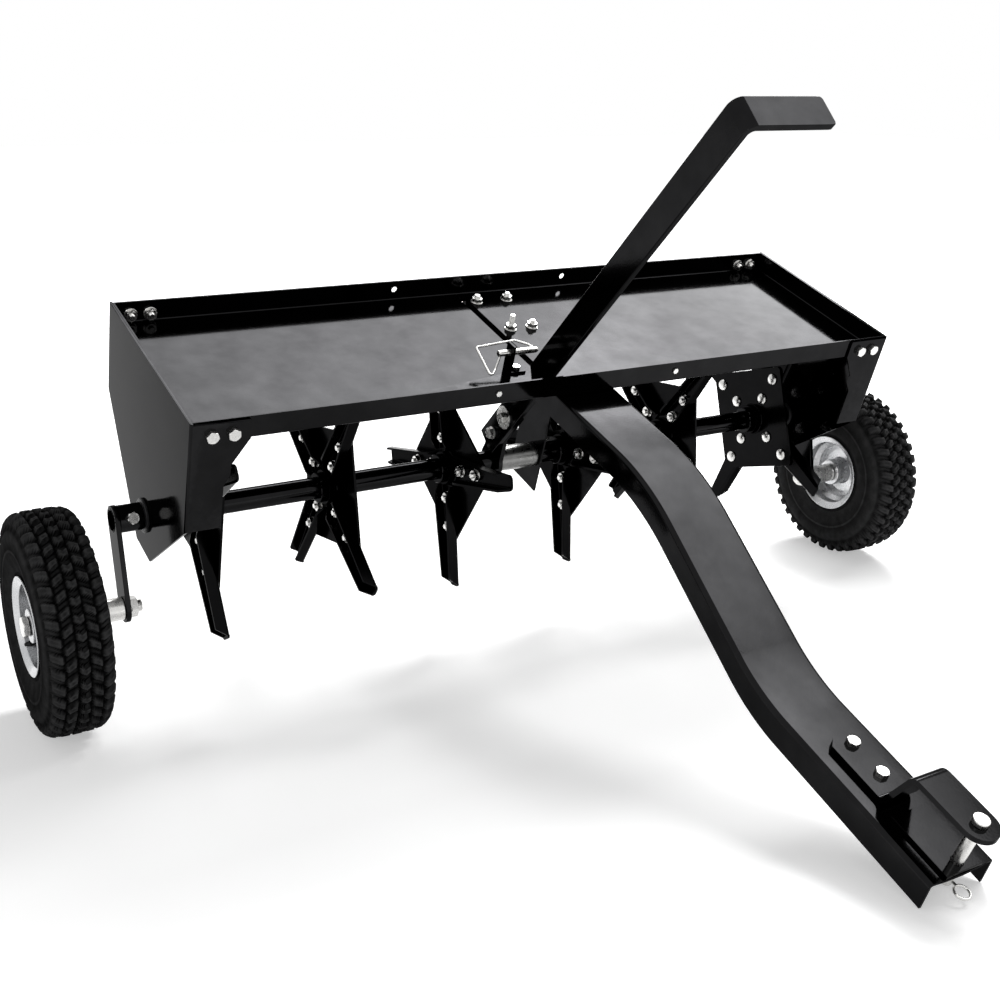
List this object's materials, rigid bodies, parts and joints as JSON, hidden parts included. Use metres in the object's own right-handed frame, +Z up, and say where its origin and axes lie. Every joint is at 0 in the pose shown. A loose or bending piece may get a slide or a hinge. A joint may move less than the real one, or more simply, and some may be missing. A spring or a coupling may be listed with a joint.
{
  "type": "tow behind aerator",
  "caption": "Towed lawn plug aerator: shallow steel weight tray over stars of plug spoons on a cross tube, with a lift lever, side wheels and a stepped drawbar with a pin hitch.",
  "frame": {"origin": "middle of the whole part's footprint, on the ground, with the part standing on its two wheels and the tip of its drawbar", "axes": "+X to the right across the machine, +Y to the rear, +Z up; the tray is pitched 18.4 degrees nose down"},
  "size_m": [1.3266, 0.9966, 0.7171],
  "materials": {
    "black_paint": "gloss black powder coat",
    "lever_paint": "gloss black powder coat",
    "star_paint": "gloss black powder coat",
    "zinc_plate": "bright zinc plating",
    "rim_paint": "silver paint",
    "tyre_rubber": "matt rubber with a stud tread",
    "bush_plastic": "satin black plastic"
  },
  "bodies": {
    "frame": {"tray": "black_paint", "left_end_panel": "black_paint", "right_end_panel": "black_paint", "left_bushing": "bush_plastic", "right_bushing": "bush_plastic", "corner_bolts": "zinc_plate", "rail_bolts": "zinc_plate", "drawbar": "black_paint", "drawbar_bolts": "zinc_plate", "centre_support": "black_paint", "support_bolts": "zinc_plate", "hitch_strap": "black_paint", "hitch_wear_plate": "black_paint", "hitch_bolts": "zinc_plate", "lock_tab": "black_paint", "lock_tab_bolt": "zinc_plate"},
    "lift": {"transport_tube": "black_paint", "star_collars": "star_paint", "centre_sleeve": "zinc_plate", "lever": "lever_paint", "lever_bracket": "lever_paint", "lever_bolts": "zinc_plate", "left_arm": "black_paint", "right_arm": "black_paint", "left_clamp": "black_paint", "right_clamp": "black_paint", "clamp_bolts": "zinc_plate", "left_wheel_bolt": "zinc_plate", "right_wheel_bolt": "zinc_plate"},
    "left_wheel": {"left_tyre": "tyre_rubber", "left_rim": "rim_paint", "left_wheel_bush": "bush_plastic"},
    "right_wheel": {"right_tyre": "tyre_rubber", "right_rim": "rim_paint", "right_wheel_bush": "bush_plastic"},
    "lock": {"lock_pin": "zinc_plate", "lock_bail": "zinc_plate"},
    "hitch_pin": {"hitch_pin": "zinc_plate"},
    "hitch_clip": {"hitch_clip": "zinc_plate"},
    "star_1": {"star_1_plate": "star_paint", "star_1_spoons": "star_paint", "star_1_bolts": "zinc_plate"},
    "star_2": {"star_2_plate": "star_paint", "star_2_spoons": "star_paint", "star_2_bolts": "zinc_plate"},
    "star_3": {"star_3_plate": "star_paint", "star_3_spoons": "star_paint", "star_3_bolts": "zinc_plate"},
    "star_4": {"star_4_plate": "star_paint", "star_4_spoons": "star_paint", "star_4_bolts": "zinc_plate"},
    "star_5": {"star_5_plate": "star_paint", "star_5_spoons": "star_paint", "star_5_bolts": "zinc_plate"},
    "star_6": {"star_6_plate": "star_paint", "star_6_spoons": "star_paint", "star_6_bolts": "zinc_plate"}
  },
  "joints": [
    {"name": "lift_swing", "type": "hinge", "parent": "frame", "child": "lift", "pos_m": [0, 0.33433, 0.2358], "axis": [1, 0, 0], "range_deg": [-54, 0]},
    {"name": "left_wheel_spin", "type": "hinge", "parent": "lift", "child": "left_wheel", "pos_m": [-0.625, 0.31721, 0.1315], "axis": [1, 0, 0], "continuous": true},
    {"name": "right_wheel_spin", "type": "hinge", "parent": "lift", "child": "right_wheel", "pos_m": [0.625, 0.31721, 0.1315], "axis": [1, 0, 0], "continuous": true},
    {"name": "lock_pin_slide", "type": "slide", "parent": "frame", "child": "lock", "axis": [1, 0, 0], "range_m": [-0.026, 0]},
    {"name": "hitch_pin_lift", "type": "slide", "parent": "frame", "child": "hitch_pin", "axis": [0, -0.3563, 0.9344], "range_m": [0, 0.006]},
    {"name": "hitch_clip_slide", "type": "slide", "parent": "hitch_pin", "child": "hitch_clip", "axis": [0, -0.9344, -0.3563], "range_m": [0, 0.045]},
    {"name": "star_1_spin", "type": "hinge", "parent": "lift", "child": "star_1", "pos_m": [-0.44, 0.33433, 0.2358], "axis": [1, 0, 0], "continuous": true},
    {"name": "star_2_spin", "type": "hinge", "parent": "lift", "child": "star_2", "pos_m": [-0.267, 0.33433, 0.2358], "axis": [1, 0, 0], "continuous": true},
    {"name": "star_3_spin", "type": "hinge", "parent": "lift", "child": "star_3", "pos_m": [-0.094, 0.33433, 0.2358], "axis": [1, 0, 0], "continuous": true},
    {"name": "star_4_spin", "type": "hinge", "parent": "lift", "child": "star_4", "pos_m": [0.094, 0.33433, 0.2358], "axis": [1, 0, 0], "continuous": true},
    {"name": "star_5_spin", "type": "hinge", "parent": "lift", "child": "star_5", "pos_m": [0.267, 0.33433, 0.2358], "axis": [1, 0, 0], "continuous": true},
    {"name": "star_6_spin", "type": "hinge", "parent": "lift", "child": "star_6", "pos_m": [0.44, 0.33433, 0.2358], "axis": [1, 0, 0], "continuous": true}
  ]
}
